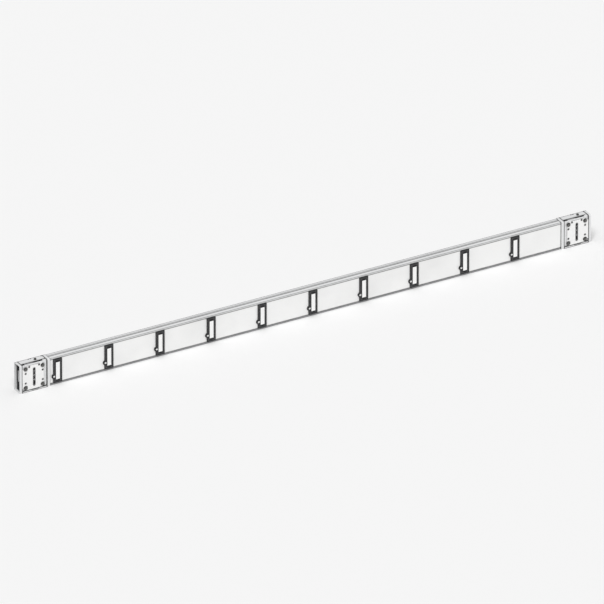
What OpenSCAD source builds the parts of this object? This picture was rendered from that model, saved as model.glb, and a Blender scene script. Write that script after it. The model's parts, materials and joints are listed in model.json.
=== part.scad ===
// Plug-in busway section: a sheet-steel casing with flat bars inside, ten tap-off outlets along
// its front face, and a bolted joint housing at each end.
// X runs along the section, the outlets face -Y, Z is up. The section stands on its joint housings.

/* [Section] */
// Overall length over both joint housings
section_length = 3600; // [3400:10:4200]
// Depth of the casing, front lip to back lip
casing_depth = 54; // [50:1:60]
// Height of the casing
casing_height = 164; // [160:1:172]
// Thickness of the casing sheet
sheet = 1.5; // [1:0.1:2]
// Height of the lips of the top and bottom channels
lip_height = 9; // [6:0.5:12]
// Width of the raised rib along the top channel
rib_width = 10; // [6:0.5:14]
// Height of the raised rib
rib_height = 1; // [0.6:0.1:1.4]
// Distance of the rib's middle from the casing's back face
rib_from_back = 24.5; // [20:0.5:30]

/* [Busbars] */
// Number of live bars
bar_count = 4; // [3:1:4]
// Height of one bar
bar_height = 16; // [10:1:18]
// Thickness of one bar
bar_thickness = 6; // [3:0.5:8]
// Distance between bar centres
bar_pitch = 28; // [26:0.5:30]
// Thickness of one bar support along the section
support_thickness = 8; // [6:0.5:14]
// Distance of the end supports from the ends of the casing
support_from_end = 25; // [15:1:28]

/* [Outlets] */
// Number of tap-off outlets
outlet_count = 10; // [2:1:10]
// Distance from the left joint housing to the middle of the first outlet
outlet_from_housing = 48; // [46:0.5:60]
// Distance between outlets
outlet_pitch = 320; // [250:1:325]
// Width of an outlet frame
frame_width = 54; // [52:0.5:60]
// Corner radius of an outlet frame
frame_corner = 3; // [1:0.5:5]
// Height of the outlet frame's face above the channel lips
frame_proud = 3.5; // [3:0.25:5]
// Width of the raised rim around the frame
rim_width = 2; // [1:0.25:2.5]
// Height of the raised rim above the frame's face
rim_height = 1.2; // [0.6:0.1:1.5]
// Width of the opening in the frame, behind the door
mouth_width = 20; // [18:0.5:21]
// Height of the opening in the frame, behind the door
mouth_height = 98; // [90:1:99]
// Wall of the frame's body around the opening
body_wall = 3; // [2:0.5:4]
// Depth of the frame's body behind the front panel
body_depth = 14; // [10:0.5:17]
// Width of one contact slot in the floor of the outlet
contact_width = 5; // [4:0.5:7]
// Height of one contact slot
contact_height = 14; // [8:1:15]
// Radius of the finger scoops in the frame, above and below the door
scoop_radius = 11; // [8:0.5:12]
// Depth of the finger scoops
scoop_depth = 2; // [1:0.25:2.5]
// Radius of one screw boss on the frame
boss_screw_radius = 2.6; // [2:0.1:3]
// Height of one screw boss
boss_screw_height = 0.6; // [0.4:0.1:1]
// Distance of the screw bosses from the outlet's middle, sideways
screw_side = 18; // [17:0.5:20]
// Distance between the screw bosses, up
screw_pitch = 32; // [30:0.5:33]

/* [Outlet doors and locks] */
// Width of the door
door_width = 25; // [23.5:0.5:26]
// Height of the door
door_height = 105; // [102:1:110]
// Thickness of the door
door_thickness = 2.2; // [1.8:0.1:3]
// Radius of the hinge barrel
barrel_radius = 2; // [1.8:0.1:2.2]
// Radius of the hinge pins
pin_radius = 1; // [0.8:0.1:1.1]
// Length of one hinge lug
lug_length = 8; // [6:0.5:10]
// Distance between the hinge lugs, middle to middle
lug_spacing = 32; // [26:0.5:36]
// Length of the whole hinge barrel
barrel_length = 88; // [84:1:100]
// Width of the shallow groove down the middle of the door
groove_width = 0.8; // [0.5:0.1:1.5]
// Depth of that groove
groove_depth = 0.5; // [0.3:0.1:0.8]
// Distance of the lock from the middle of the outlet, to the left
lock_side = 23; // [22:0.5:24]
// Distance of the lock below the middle of the outlet
lock_below = 32; // [28:0.5:40]
// Radius of the round boss around the lock
boss_radius = 14; // [12:0.5:16]
// Radius of the lock's head
lock_radius = 8; // [7:0.25:8.5]
// Thickness of the lock's head
lock_head = 2.5; // [2:0.1:3]
// Radius of the lock's shank
shank_radius = 5.5; // [4.5:0.25:6]
// Width of the slot across the lock's head
lock_slot = 1.6; // [1.2:0.1:2]

/* [Joint housings] */
// Length of one joint housing
housing_length = 188; // [180:1:196]
// Depth of a joint housing over its collars
housing_depth = 63; // [61:1:70]
// How far the collars stand above and below the casing
collar_step = 2; // [1.8:0.1:3]
// Width of the collar at the open end
end_collar = 16.5; // [12:0.5:18]
// Width of the collar around the casing
casing_collar = 18; // [14:0.5:20]
// Chamfer of the collars' top corners
collar_chamfer = 5; // [3:0.5:7]
// Wall of the sleeve inside a joint housing
sleeve_wall = 2; // [1.8:0.1:2.5]
// Length of the tab that is left in the notch, at its right end
tab_length = 24; // [18:1:28]
// Corner radius of that tab
tab_corner = 8; // [5:0.5:9]
// Radius of the fillets between the collars and the bottom strips
rail_fillet = 11; // [6:0.5:12]
// Depth of the strip that joins the collars at the top, from the back
top_strip_depth = 38; // [32:1:42]
// Thickness of the strips that join the collars
strip_thickness = 2; // [1.5:0.1:2.5]
// Height of the front strip that joins the collars at the bottom
rail_height = 11; // [10:0.5:12]
// Length of the slot in the bottom strip
rail_slot_length = 45; // [30:1:50]
// Height of the slot in the bottom strip
rail_slot_height = 4.5; // [3:0.5:5]
// Distance of that slot's middle from the joint's middle, to the right
rail_slot_side = 5.5; // [0:0.5:10]
// Width of the window in the sleeve behind the slot of a joint plate
window_clear = 48; // [30:1:60]

/* [Joint plates and bolts] */
// Height of a joint plate
plate_height = 143; // [138:1:146]
// Thickness of a joint plate
plate_thickness = 3; // [2:0.25:4]
// Distance of the joint's middle from the middle of the housing, outward
joint_offset = 3.5; // [2:0.5:5]
// Width of the strip that the plate leaves open, towards the casing
open_strip = 19.5; // [16:0.5:22]
// Width of the slot in the plate
plate_slot_width = 12; // [8:0.5:14]
// Height of the slot in the plate
plate_slot_height = 108; // [90:1:112]
// Radius of the small holes in the plate
small_hole_radius = 2; // [1.5:0.1:2.5]
// Distance of the side holes from the plate's edge towards the casing
side_hole_inset = 7; // [5:0.25:10]
// Half the distance between the side holes, up
side_hole_z = 29.5; // [25:0.5:35]
// Half the distance between the two holes near the plate's upper edge
edge_hole_x = 30.6; // [25:0.1:34]
// Distance of those holes from the plate's upper edge
edge_hole_inset = 5.5; // [4:0.25:7]
// Radius of a joint bolt
bolt_radius = 5; // [4:0.5:5]
// Distance of the joint bolts from the plate's edge towards the casing
bolt_inset = 7; // [5:0.5:9]
// Half the distance between the joint bolts, up
bolt_z = 57; // [56:0.5:59]
// Radius of the rounded cut-out around each bolt
cutout_radius = 13; // [12:0.5:14]
// Gap along the section between a splice plate and a joint bolt
splice_gap = 3; // [1:0.5:6]
// Thickness of one splice plate
splice_thickness = 3; // [2:0.5:4]
// How far a block around a joint bolt reaches from the bolt towards the joint's middle
block_inward = 11; // [8:0.5:11]
// How far it reaches from the bolt the other way, towards an end of the sleeve
block_outward = 21; // [14:1:21]
// How far it reaches from the bolt towards the bars
block_foot = 19; // [12:1:20]
// Depth of one block, from the wall of the sleeve inward
block_depth = 16; // [12:1:16]
// Number of grooves in the end of a block
block_grooves = 4; // [2:1:4]
// Gap along the section between the comb and a block
comb_gap = 1; // [0.5:0.5:4]
// Depth of the comb, front to back
comb_depth = 44; // [38:1:46]
// Thickness of the comb's spine
comb_spine = 6; // [4:0.5:7]
// Thickness of one shelf of the comb
comb_shelf = 2.5; // [2:0.5:4]
// Distance of the comb's outer shelves past the middles of the joint bolts
outer_shelf_gap = 9; // [7:0.5:10]
// Height of the ribbed crown on top of the comb
crown_height = 9.5; // [6:0.5:10]
// How far the crown reaches past the comb, to the left
crown_reach = 7; // [4:0.5:7]
// Depth of the ribbed crown, front to back
crown_depth = 15; // [10:0.5:16]
// Number of grooves along the crown
crown_grooves = 4; // [2:1:5]
// Radius of the shank of the clamp screw in the top strip
clamp_radius = 4; // [3:0.5:4]
// Distance of the clamp screw from the joint's middle, to the right
clamp_side = 23.5; // [20:0.5:26]

/* [Clearances] */
// Gap between pieces that slide or snap together
fit_gap = 0.3; // [0.2:0.05:0.4]
// Radial gap of a running pin in its bore
pin_gap = 0.05; // [0.03:0.01:0.08]
// Radial gap of a bolt in its hole
bolt_gap = 0.5; // [0.4:0.1:0.8]

/* [Hidden] */
$fn = 48;
EPS = 0.01;
THROUGH = 1;

// Heights and depths of the casing
mid_z = collar_step + casing_height / 2;
casing_bottom = collar_step;
casing_top = collar_step + casing_height;
half_depth = casing_depth / 2;
panel_face = half_depth - sheet;
panel_height = casing_height - 2 * sheet;
open_height = casing_height - 2 * lip_height;
inner_depth = casing_depth - 4 * sheet;
casing_length = section_length - 2 * (housing_length - casing_collar);
casing_start = -casing_length / 2;

// Outlets
first_outlet = housing_length + outlet_from_housing;
frame_height = open_height - 2 * fit_gap;
frame_face = half_depth + frame_proud;
frame_thickness = frame_face - panel_face;
body_width = mouth_width + 2 * body_wall;
body_height = mouth_height + 2 * body_wall;
window_width = body_width + 2 * fit_gap;
window_height = body_height + 2 * fit_gap;
door_face = frame_face + fit_gap + door_thickness;
hinge_x = door_width / 2 + barrel_radius + fit_gap;
hinge_y = frame_face + fit_gap + barrel_radius;
shank_length = frame_thickness - fit_gap;

// Rows of the hinge lugs, and the screw bosses as [side, row]
lug_rows = [-1, 0, 1];
screw_places = [[-1, 2], [-1, 1], [-1, 0], [-1, -2], [1, 2], [1, -2]];

// Joint housings
housing_height = casing_height + 2 * collar_step;
half_housing = housing_depth / 2;
sleeve_length = housing_length - casing_collar;
casing_size = [casing_depth, casing_height];
sleeve_opening = casing_size - 2 * [sleeve_wall, sleeve_wall];
collar_distance = housing_length - end_collar - casing_collar;
joint_x = section_length / 2 - housing_length / 2 + joint_offset;
notch_back = half_housing - top_strip_depth;

// The joint plates, measured from the joint's middle
plate_inner_edge = housing_length / 2 + joint_offset - casing_collar - open_strip;
plate_outer_edge = housing_length / 2 - joint_offset - end_collar - fit_gap;
plate_length = plate_inner_edge + plate_outer_edge;
side_hole_x = plate_inner_edge - side_hole_inset;
edge_hole_z = plate_height / 2 - edge_hole_inset;
bolt_x = plate_inner_edge - bolt_inset;
splice_length = 2 * (bolt_x - bolt_radius - splice_gap);
comb_length = 2 * (bolt_x - block_inward - comb_gap);
outer_shelf_z = bolt_z + outer_shelf_gap;
crown_base = outer_shelf_z + comb_shelf / 2;

// Joint bolts
washer_reach = 2;
washer_share = 0.4;
head_reach = 1.96;
head_share = 1.28;
washer_radius = washer_reach * bolt_radius;
washer_thickness = washer_share * bolt_radius;
head_radius = head_reach * bolt_radius;
head_height = head_share * bolt_radius;
nut_height = 1.6 * bolt_radius;
bolt_tail = 0.3 * bolt_radius;
clamp_length = 12;
clamp_y = notch_back + washer_reach * clamp_radius + fit_gap;
front_reach = half_depth + washer_thickness + head_height;
back_reach = half_depth + washer_thickness + nut_height + bolt_tail;

// The origin is under the middle of the whole section, bolts included
y_shift = (front_reach - back_reach) / 2;

outlet_xs = [for (i = [0:outlet_count - 1]) -section_length / 2 + first_outlet + i * outlet_pitch];
bar_zs = [for (i = [0:bar_count - 1]) (i - (bar_count - 1) / 2) * bar_pitch];
end_support = -casing_start - support_from_end;
last_outlet = outlet_xs[outlet_count - 1];
support_xs = concat(
    [-end_support],
    [for (i = [0:outlet_count - 2]) outlet_xs[i] + outlet_pitch / 2],
    [(last_outlet + frame_width / 2 + end_support) / 2, end_support]
);
shelf_zs = concat(
    [-outer_shelf_z, outer_shelf_z],
    [for (i = [0:bar_count - 2]) (bar_zs[i] + bar_zs[i + 1]) / 2]
);

// Draws its children, a shape in Y and Z, as a bar along X from x
module along_x(x, length) {
    translate([x, 0, 0])
        rotate([90, 0, 90])
            linear_extrude(length)
                children();
}

// Draws its children, a shape in X and Z, from the depth y towards the front
module forward(y, thickness) {
    translate([0, y, 0])
        rotate([90, 0, 0])
            linear_extrude(thickness)
                children();
}

module rounded_rectangle(width, height, radius) {
    square([width - 2 * radius, height], center = true);
    square([width, height - 2 * radius], center = true);
    for (sx = [-1, 1], sz = [-1, 1])
        translate([sx * (width / 2 - radius), sz * (height / 2 - radius)])
            circle(radius);
}

// A slot with round ends, upright
module upright_slot(width, height) {
    square([width, height - width], center = true);
    for (sz = [-1, 1])
        translate([0, sz * (height - width) / 2])
            circle(width / 2);
}

// Section of one casing channel, its web at the top
module channel_section() {
    difference() {
        translate([-half_depth, casing_top - lip_height])
            square([casing_depth, lip_height]);
        translate([-half_depth + sheet, casing_top - lip_height - THROUGH])
            square([casing_depth - 2 * sheet, lip_height + THROUGH - sheet]);
    }
}

module top_channel() {
    rib_length = casing_length - 2 * (casing_collar + fit_gap);
    color("gainsboro") translate([0, y_shift, 0]) {
        along_x(casing_start, casing_length)
            channel_section();
        // The raised rib stops short of the collars
        along_x(-rib_length / 2, rib_length)
            translate([half_depth - rib_from_back - rib_width / 2, casing_top - sheet])
                square([rib_width, sheet + rib_height]);
    }
}

module bottom_channel() {
    color("gainsboro") translate([0, y_shift, 0]) along_x(casing_start, casing_length)
        translate([0, 2 * mid_z])
            mirror([0, 1])
                channel_section();
}

// A flat side panel, its outer face one sheet inside the lips
module side_panel() {
    translate([casing_start, -panel_face, casing_bottom + sheet])
        cube([casing_length, sheet, panel_height]);
}

module front_panel() {
    color("whitesmoke") translate([0, y_shift, 0]) difference() {
        side_panel();
        for (x = outlet_xs)
            translate([x, 0, mid_z])
                forward(-panel_face + sheet + THROUGH, sheet + 2 * THROUGH)
                    square([window_width, window_height], center = true);
    }
}

module back_panel() {
    color("whitesmoke") translate([0, y_shift, 0])
        mirror([0, 1, 0])
            side_panel();
}

module busbar(i) {
    length = 2 * (joint_x - fit_gap);
    if (i < bar_count)
        color("silver") translate([-length / 2, y_shift - bar_thickness / 2, mid_z + bar_zs[i] - bar_height / 2])
            cube([length, bar_thickness, bar_height]);
}

// An insulating plate across the casing that the bars pass through
module bar_supports() {
    color("dimgray") translate([0, y_shift, 0])
        for (x = support_xs)
            along_x(x - support_thickness / 2, support_thickness)
                translate([0, mid_z])
                    difference() {
                        square([inner_depth, panel_height] - 2 * [fit_gap, fit_gap], center = true);
                        for (z = bar_zs)
                            translate([0, z])
                                square([bar_thickness, bar_height] + [fit_gap, fit_gap], center = true);
                    }
}

// Places its children at outlet number i, with the middle of the outlet at the height mid_z
module at_outlet(i) {
    if (i < outlet_count)
        translate([outlet_xs[i], y_shift, mid_z])
            children();
}

// The frame seen from the front, with its edge moved in by inset
module frame_outline(inset = 0) {
    rounded_rectangle(frame_width - 2 * inset, frame_height - 2 * inset, frame_corner - inset);
    translate([-lock_side, -lock_below])
        circle(boss_radius - inset);
}

// One fixed lug of the door's hinge, standing on the frame's face
module hinge_lug() {
    difference() {
        union() {
            translate([hinge_x, -hinge_y, -lug_length / 2])
                cylinder(h = lug_length, r = barrel_radius);
            translate([hinge_x - barrel_radius, -hinge_y, -lug_length / 2])
                cube([2 * barrel_radius, hinge_y - frame_face + EPS, lug_length]);
        }
        translate([hinge_x, -hinge_y, -lug_length / 2 - THROUGH])
            cylinder(h = lug_length + 2 * THROUGH, r = pin_radius + pin_gap);
    }
}

module outlet_frame(i) {
    floor_back = -panel_face + body_depth;
    color("#202224") at_outlet(i) {
        difference() {
            union() {
                forward(-panel_face, frame_thickness)
                    frame_outline();
                forward(-frame_face + EPS, rim_height + EPS)
                    difference() {
                        frame_outline();
                        frame_outline(rim_width);
                    }
                forward(floor_back, body_depth + EPS)
                    square([body_width, body_height], center = true);
            }
            forward(floor_back - body_wall, body_depth + frame_thickness)
                square([mouth_width, mouth_height], center = true);
            for (z = bar_zs)
                translate([0, 0, z])
                    forward(floor_back + THROUGH, body_wall + 2 * THROUGH)
                        square([contact_width, contact_height], center = true);
            translate([-lock_side, 0, -lock_below])
                forward(-panel_face + THROUGH, frame_thickness + 2 * THROUGH)
                    circle(shank_radius + pin_gap);
            for (sz = [-1, 1])
                translate([0, 0, sz * door_height / 2])
                    forward(-frame_face + scoop_depth, scoop_depth + THROUGH)
                        circle(scoop_radius);
        }
        for (k = lug_rows)
            translate([0, 0, k * lug_spacing])
                hinge_lug();
        for (place = screw_places)
            translate([place[0] * screw_side, 0, place[1] * screw_pitch])
                forward(-frame_face + EPS, boss_screw_height + EPS)
                    circle(boss_screw_radius);
    }
}

module outlet_door(i) {
    color("white") at_outlet(i) {
        difference() {
            union() {
                translate([-door_width / 2, -door_face, -door_height / 2])
                    cube([door_width, door_thickness, door_height]);
                translate([door_width / 2 - EPS, -door_face, -barrel_length / 2])
                    cube([hinge_x - door_width / 2, door_thickness, barrel_length]);
                translate([hinge_x, -hinge_y, -barrel_length / 2])
                    cylinder(h = barrel_length, r = barrel_radius);
            }
            for (k = lug_rows)
                translate([door_width / 2, -door_face - barrel_radius, k * lug_spacing - lug_length / 2 - fit_gap])
                    cube([2 * barrel_radius + THROUGH, 3 * barrel_radius, lug_length + 2 * fit_gap]);
            forward(-door_face + groove_depth, groove_depth + THROUGH)
                square([groove_width, mouth_height], center = true);
        }
        translate([hinge_x, -hinge_y, -barrel_length / 2])
            cylinder(h = barrel_length, r = pin_radius);
    }
}

module outlet_lock(i) {
    color("lightgray") at_outlet(i)
        translate([-lock_side, 0, -lock_below])
            difference() {
                union() {
                    forward(-frame_face - fit_gap, lock_head)
                        circle(lock_radius);
                    forward(-frame_face - fit_gap + shank_length, shank_length + EPS)
                        circle(shank_radius);
                }
                forward(-frame_face - fit_gap - lock_head / 2, lock_head)
                    square([lock_slot, 2 * lock_radius + THROUGH], center = true);
            }
}

// Turns what is drawn for the right end into the left end
module at_end(side) {
    translate([0, y_shift, 0])
        mirror([side == "left" ? 1 : 0, 0, 0])
            children();
}

// Places its children at the middle of a joint, the same way round at both ends
module at_joint(side) {
    translate([(side == "left" ? -1 : 1) * joint_x, y_shift, 0])
        children();
}

// Section of a collar around the opening given by its depth and height
module collar_section(opening) {
    difference() {
        polygon([
            [-half_housing, 0],
            [half_housing, 0],
            [half_housing, housing_height - collar_chamfer],
            [half_housing - collar_chamfer, housing_height],
            [-half_housing + collar_chamfer, housing_height],
            [-half_housing, housing_height - collar_chamfer]
        ]);
        translate([0, mid_z])
            square(opening, center = true);
    }
}

module sleeve_section() {
    translate([0, mid_z])
        difference() {
            square(casing_size, center = true);
            square(sleeve_opening, center = true);
        }
}

// Front or back strip between the collars at the bottom, with a fillet at each end
module rail_outline() {
    square([collar_distance, rail_height]);
    for (end = [0, 1])
        translate([end * collar_distance, rail_height])
            mirror([end, 0])
                difference() {
                    square(rail_fillet);
                    translate([rail_fillet, rail_fillet])
                        circle(rail_fillet);
                }
}

// The joint housing without its cuts: a sleeve that carries on the casing, a collar around the
// casing, a socket collar at the open end, and the strips that join the two
module housing_shell() {
    end_x = section_length / 2;
    sleeve_start = end_x - sleeve_length;
    socket_start = end_x - end_collar;
    along_x(sleeve_start - casing_collar, casing_collar)
        collar_section(casing_size + 2 * [fit_gap, fit_gap]);
    along_x(socket_start, end_collar)
        collar_section(casing_size + 2 * [fit_gap, fit_gap]);
    along_x(socket_start, sleeve_wall)
        collar_section(sleeve_opening);
    along_x(sleeve_start, collar_distance + EPS)
        sleeve_section();
    translate([sleeve_start - EPS, notch_back, casing_top - EPS])
        cube([collar_distance + 2 * EPS, top_strip_depth - collar_chamfer, strip_thickness + EPS]);
    translate([sleeve_start - EPS, -half_housing, 0])
        cube([collar_distance + 2 * EPS, housing_depth, strip_thickness + EPS]);
    for (sy = [0, 1])
        mirror([0, sy, 0])
            translate([sleeve_start, 0, 0])
                forward(-half_housing + strip_thickness, strip_thickness)
                    rail_outline();
}

// The notch in the housing's top, seen from above, with the round-cornered tab left in it
module notch_outline(left, right) {
    front = -half_depth + sleeve_wall;
    difference() {
        translate([left, front])
            square([right - left, notch_back - front]);
        translate([right - tab_length + tab_corner, front])
            square([tab_length, notch_back - front - tab_corner]);
        translate([right - tab_length, front])
            square([tab_length, notch_back - front - 2 * tab_corner]);
        translate([right - tab_length + tab_corner, notch_back - 2 * tab_corner])
            circle(tab_corner);
    }
}

module housing(side) {
    toward_open_end = housing_length / 2 - joint_offset - end_collar;
    toward_casing = collar_distance - toward_open_end;
    left = side == "left" ? -toward_open_end : -toward_casing;
    color("#e8e8e6") difference() {
        at_end(side)
            housing_shell();
        at_joint(side) {
            translate([0, 0, casing_top - sleeve_wall - THROUGH])
                linear_extrude(sleeve_wall + 2 * THROUGH)
                    notch_outline(left, left + collar_distance);
            // The windows behind the slots of the joint plates
            for (sy = [-1, 1])
                translate([0, sy * (half_depth - sleeve_wall / 2), mid_z])
                    cube([window_clear, sleeve_wall + THROUGH, plate_slot_height + sleeve_wall], center = true);
            for (sx = [-1, 1], sz = [-1, 1])
                translate([sx * bolt_x, 0, mid_z + sz * bolt_z])
                    forward(half_housing, housing_depth)
                        circle(bolt_radius + bolt_gap);
            translate([rail_slot_side, 0, (strip_thickness + rail_height) / 2])
                forward(-half_housing + strip_thickness + THROUGH, strip_thickness + 2 * THROUGH)
                    rotate(90)
                        upright_slot(rail_slot_height, rail_slot_length);
            translate([clamp_side, clamp_y, casing_top - sleeve_wall - THROUGH])
                cylinder(h = 2 * sleeve_wall + strip_thickness, r = clamp_radius + bolt_gap);
        }
    }
}

module plate_shape() {
    difference() {
        translate([-plate_inner_edge, -plate_height / 2])
            square([plate_length, plate_height]);
        upright_slot(plate_slot_width, plate_slot_height);
        for (sx = [-1, 1], sz = [-1, 1]) {
            translate([sx * bolt_x, sz * bolt_z])
                circle(cutout_radius);
            translate([sx * (bolt_x + plate_length), sz * (bolt_z + plate_length)])
                square(2 * plate_length, center = true);
            translate([sx * side_hole_x, sz * side_hole_z])
                circle(small_hole_radius);
        }
        for (sx = [-1, 1])
            translate([sx * edge_hole_x, edge_hole_z])
                circle(small_hole_radius);
    }
}

module front_plate(side) {
    color("white") at_end(side)
        translate([joint_x, 0, mid_z])
            forward(-half_depth, plate_thickness)
                plate_shape();
}

module back_plate(side) {
    color("white") at_end(side)
        translate([joint_x, 0, mid_z])
            forward(half_depth + plate_thickness, plate_thickness)
                plate_shape();
}

module joint_bolt() {
    forward(back_reach, back_reach + front_reach - head_height / 2)
        circle(bolt_radius);
    forward(-half_depth, washer_thickness)
        circle(washer_radius);
    forward(half_depth + washer_thickness, washer_thickness)
        circle(washer_radius);
    forward(-half_depth - washer_thickness, head_height)
        circle(head_radius, $fn = 6);
    forward(half_depth + washer_thickness + nut_height, nut_height)
        circle(head_radius, $fn = 6);
}

// The screw that clamps the joint, upright in the top strip
module clamp_screw() {
    translate([0, 0, casing_top + strip_thickness - clamp_length])
        cylinder(h = clamp_length + washer_share * clamp_radius, r = clamp_radius);
    translate([0, 0, casing_top + strip_thickness])
        cylinder(h = washer_share * clamp_radius, r = washer_reach * clamp_radius);
    translate([0, 0, casing_top + strip_thickness + washer_share * clamp_radius])
        cylinder(h = head_share * clamp_radius, r = head_reach * clamp_radius, $fn = 6);
}

module bolts(side) {
    color("silver") at_joint(side) {
        for (sx = [-1, 1], sz = [-1, 1])
            translate([sx * bolt_x, 0, mid_z + sz * bolt_z])
                joint_bolt();
        translate([clamp_side, clamp_y, 0])
            clamp_screw();
    }
}

// An insulating block around a joint bolt, up to the height top, seen from the front
module block_outline(top) {
    left = bolt_x - block_inward;
    right = bolt_x + block_outward;
    bottom = bolt_z - block_foot;
    step = (top - bottom) / (2 * block_grooves + 1);
    difference() {
        translate([(left + right) / 2, (bottom + top) / 2])
            rounded_rectangle(right - left, top - bottom, 1);
        translate([bolt_x, bolt_z])
            circle(bolt_radius + bolt_gap);
        for (k = [0:block_grooves - 1])
            translate([right - block_outward / 5, bottom + (2 * k + 1) * step])
                square([block_outward / 5 + THROUGH, step]);
    }
}

// Two blocks to a bolt, each against a side wall of the sleeve. The back ones fill the height of
// the sleeve, the front ones leave room for the crown of the comb.
module blocks(side) {
    tops = [casing_height / 2 - sleeve_wall - fit_gap, crown_base - 2 * fit_gap];
    color("dimgray") at_joint(side)
        for (sx = [0, 1], sy = [0, 1], sz = [0, 1])
            mirror([sx, 0, 0])
                mirror([0, sy, 0])
                    translate([0, 0, mid_z])
                        mirror([0, 0, sz])
                            forward(half_depth - sleeve_wall, block_depth)
                                block_outline(tops[sy]);
}

module splices(side) {
    color("silver") at_end(side)
        for (z = bar_zs, sy = [0, 1])
            mirror([0, sy, 0])
                translate([joint_x - splice_length / 2, bar_thickness / 2, mid_z + z - bar_height / 2])
                    cube([splice_length, splice_thickness, bar_height]);
}

// The comb's crown seen from above: its right end is round
module crown_outline(left) {
    back = notch_back - fit_gap;
    radius = crown_depth / 2;
    translate([left, back - crown_depth])
        square([-left - radius, crown_depth]);
    translate([-radius, back - radius])
        circle(radius);
}

// The insulator comb of a joint: a spine against the back wall, a shelf on each side of a bar,
// and a ribbed crown that shows in the notch of the housing
module comb(side) {
    spine_back = half_depth - sleeve_wall;
    groove = crown_depth / (2 * crown_grooves + 1);
    crown_left = -comb_length / 2 - crown_reach;
    crown_bottom = mid_z + crown_base;
    color("dimgray") at_joint(side) {
        along_x(-comb_length / 2, comb_length)
            translate([0, mid_z]) {
                translate([spine_back - comb_spine, -outer_shelf_z - comb_shelf / 2])
                    square([comb_spine, 2 * outer_shelf_z + comb_shelf]);
                for (z = shelf_zs)
                    translate([spine_back - comb_depth, z - comb_shelf / 2])
                        square([comb_depth, comb_shelf]);
            }
        difference() {
            translate([0, 0, crown_bottom - EPS])
                linear_extrude(crown_height + EPS)
                    crown_outline(crown_left);
            for (k = [0:crown_grooves - 1])
                translate([
                    crown_left - THROUGH,
                    notch_back - fit_gap - (2 * k + 2) * groove,
                    crown_bottom + crown_height / 2
                ])
                    cube([THROUGH - crown_left, groove, crown_height]);
        }
    }
}

top_channel();
bottom_channel();
front_panel();
back_panel();
busbar(0);  // busbar_1
busbar(1);  // busbar_2
busbar(2);  // busbar_3
busbar(3);  // busbar_4
bar_supports();
outlet_frame(0);  // outlet_frame_01
outlet_frame(1);  // outlet_frame_02
outlet_frame(2);  // outlet_frame_03
outlet_frame(3);  // outlet_frame_04
outlet_frame(4);  // outlet_frame_05
outlet_frame(5);  // outlet_frame_06
outlet_frame(6);  // outlet_frame_07
outlet_frame(7);  // outlet_frame_08
outlet_frame(8);  // outlet_frame_09
outlet_frame(9);  // outlet_frame_10
outlet_door(0);  // outlet_door_01
outlet_door(1);  // outlet_door_02
outlet_door(2);  // outlet_door_03
outlet_door(3);  // outlet_door_04
outlet_door(4);  // outlet_door_05
outlet_door(5);  // outlet_door_06
outlet_door(6);  // outlet_door_07
outlet_door(7);  // outlet_door_08
outlet_door(8);  // outlet_door_09
outlet_door(9);  // outlet_door_10
outlet_lock(0);  // outlet_lock_01
outlet_lock(1);  // outlet_lock_02
outlet_lock(2);  // outlet_lock_03
outlet_lock(3);  // outlet_lock_04
outlet_lock(4);  // outlet_lock_05
outlet_lock(5);  // outlet_lock_06
outlet_lock(6);  // outlet_lock_07
outlet_lock(7);  // outlet_lock_08
outlet_lock(8);  // outlet_lock_09
outlet_lock(9);  // outlet_lock_10
housing("left");  // left_housing
front_plate("left");  // left_front_plate
back_plate("left");  // left_back_plate
bolts("left");  // left_bolts
blocks("left");  // left_blocks
splices("left");  // left_splices
comb("left");  // left_comb
housing("right");  // right_housing
front_plate("right");  // right_front_plate
back_plate("right");  // right_back_plate
bolts("right");  // right_bolts
blocks("right");  // right_blocks
splices("right");  // right_splices
comb("right");  // right_comb
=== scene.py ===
# %% [markdown]
# # A plug-in busway section
# A busway carries power along a row of machines: flat bars run inside a slim steel casing, and
# outlets along its front let a plug reach them. The construction is already solid and to size. This
# lesson loads it, rounds the edges that a press brake or a mould would round, adds the small
# pieces that are too fine for the construction, and gives every surface its finish.

import json
import math

import bmesh
import bpy
import numpy as np
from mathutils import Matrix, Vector


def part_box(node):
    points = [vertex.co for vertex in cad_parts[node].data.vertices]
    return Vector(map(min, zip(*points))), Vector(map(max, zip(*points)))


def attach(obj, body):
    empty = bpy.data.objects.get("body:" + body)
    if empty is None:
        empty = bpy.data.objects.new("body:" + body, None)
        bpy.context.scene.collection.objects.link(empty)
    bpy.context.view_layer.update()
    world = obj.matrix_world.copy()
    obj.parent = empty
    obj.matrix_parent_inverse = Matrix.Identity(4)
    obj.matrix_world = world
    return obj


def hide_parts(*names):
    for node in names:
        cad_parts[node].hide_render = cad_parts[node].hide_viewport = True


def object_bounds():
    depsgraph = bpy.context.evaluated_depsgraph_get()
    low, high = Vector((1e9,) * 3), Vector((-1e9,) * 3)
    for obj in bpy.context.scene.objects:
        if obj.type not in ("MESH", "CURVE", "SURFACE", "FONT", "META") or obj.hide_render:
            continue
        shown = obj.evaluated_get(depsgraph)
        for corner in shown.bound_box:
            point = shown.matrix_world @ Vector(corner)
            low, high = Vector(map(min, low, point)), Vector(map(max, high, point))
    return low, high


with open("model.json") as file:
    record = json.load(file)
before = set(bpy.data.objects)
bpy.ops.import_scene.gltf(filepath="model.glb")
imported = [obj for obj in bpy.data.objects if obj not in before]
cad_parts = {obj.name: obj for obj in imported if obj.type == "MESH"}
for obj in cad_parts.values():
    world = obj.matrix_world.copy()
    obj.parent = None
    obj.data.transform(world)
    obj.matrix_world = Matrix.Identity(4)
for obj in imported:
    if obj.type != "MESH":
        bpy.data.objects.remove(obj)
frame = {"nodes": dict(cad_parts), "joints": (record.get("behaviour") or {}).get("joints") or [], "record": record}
cad_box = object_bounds()
nodes = frame["nodes"]
low, high = (np.array(corner) for corner in cad_box)
print("construction box in metres:", low.round(4), high.round(4))

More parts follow.
